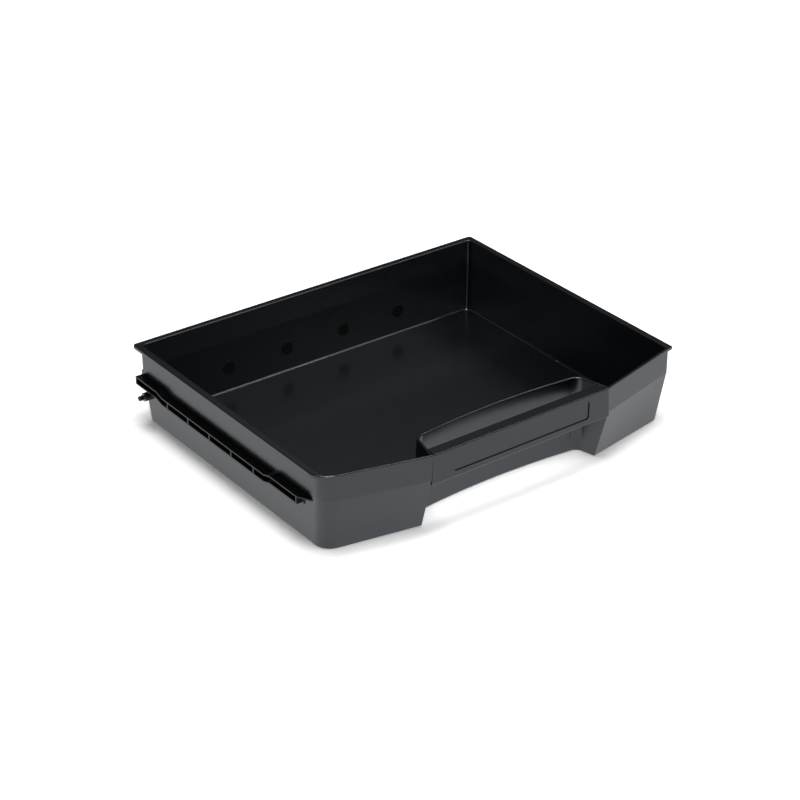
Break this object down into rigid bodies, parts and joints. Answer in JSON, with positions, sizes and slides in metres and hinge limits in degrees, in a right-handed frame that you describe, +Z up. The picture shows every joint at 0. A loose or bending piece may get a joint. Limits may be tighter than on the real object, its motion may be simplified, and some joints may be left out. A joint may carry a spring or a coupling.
{
  "type": "drawer tray",
  "caption": "Shallow open-top black plastic drawer tray with out-turned lip, side slide rails, sprung stop pins, rear buffers and a grip bar over a finger recess in the bowed front",
  "frame": {"origin": "centre of the bounding box at the underside of the floor", "axes": "+X to the right along the front, +Y from the grip bar to the back wall, +Z up"},
  "size_m": [0.384, 0.303, 0.072],
  "materials": {
    "tub_plastic": "moulded, semi-gloss",
    "bar_plastic": "moulded, semi-gloss",
    "label_plastic": "fine grain",
    "rail_plastic": "moulded, semi-gloss",
    "pin_plastic": "smooth",
    "screw_steel": "blackened",
    "bush_steel": "turned",
    "spring_steel": "drawn wire",
    "buffer_rubber": "matt"
  },
  "bodies": {
    "tray": {"tray_tub": "tub_plastic", "handle_bar": "bar_plastic", "label_plate": "label_plastic", "handle_screws": "screw_steel", "rail_left": "rail_plastic", "rail_right": "rail_plastic", "rail_screws_left": "screw_steel", "rail_screws_right": "screw_steel", "stop_bush_left": "bush_steel", "stop_bush_right": "bush_steel", "stop_spring_left": "spring_steel", "stop_spring_right": "spring_steel", "rear_buffer_1": "buffer_rubber", "rear_buffer_2": "buffer_rubber", "rear_buffer_3": "buffer_rubber", "rear_buffer_4": "buffer_rubber"},
    "stop_left": {"stop_pin_left": "pin_plastic"},
    "stop_right": {"stop_pin_right": "pin_plastic"}
  },
  "joints": [
    {"name": "stop_left_press", "type": "slide", "parent": "tray", "child": "stop_left", "axis": [1, 0, 0], "range_m": [0, 0.0046], "stiffness_N_per_m": 250, "springref_m": -0.002, "deforming": ["stop_spring_left"]},
    {"name": "stop_right_press", "type": "slide", "parent": "tray", "child": "stop_right", "axis": [-1, 0, 0], "range_m": [0, 0.0046], "stiffness_N_per_m": 250, "springref_m": -0.002, "deforming": ["stop_spring_right"]}
  ]
}
